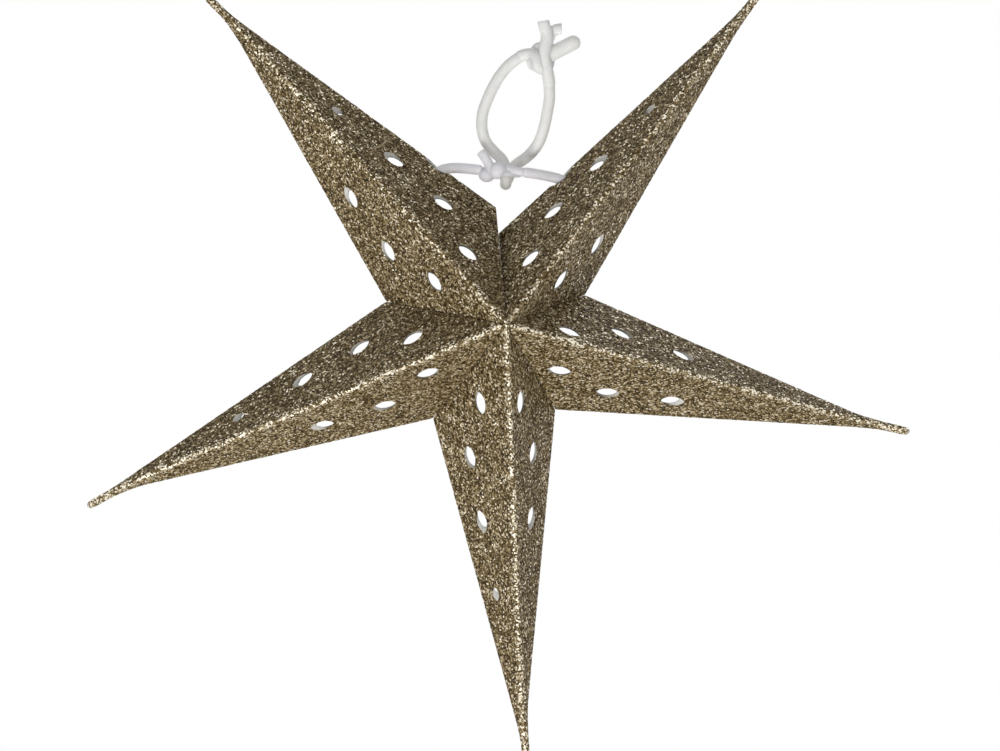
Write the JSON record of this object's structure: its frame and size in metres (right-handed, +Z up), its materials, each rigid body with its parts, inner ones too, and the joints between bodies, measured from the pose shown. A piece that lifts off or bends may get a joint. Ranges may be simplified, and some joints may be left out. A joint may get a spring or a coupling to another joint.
{
  "type": "folded card hanging star",
  "caption": "Hollow hanging star folded from glittered card, with punched eye-shaped holes in its pointed spikes, an elastic tie and an elastic hanging loop.",
  "frame": {"origin": "seat of the hook, inside the top of the hanging loop", "axes": "+Z up as the star hangs, -Y is the front of the star, +X to the right seen from the front"},
  "size_m": [0.1148, 0.0334, 0.1098],
  "materials": {
    "glitter_card": "glitter",
    "tie_elastic": "satin",
    "hanger_elastic": "satin"
  },
  "bodies": {
    "root": {"star_point_upper_right": "glitter_card", "star_point_upper_left": "glitter_card", "star_point_left": "glitter_card", "star_point_bottom": "glitter_card", "star_point_right": "glitter_card", "tie_elastic_left": "tie_elastic", "tie_elastic_right": "tie_elastic", "tie_knot": "tie_elastic", "hanging_elastic": "hanger_elastic", "hanging_knot": "hanger_elastic"}
  },
  "joints": []
}
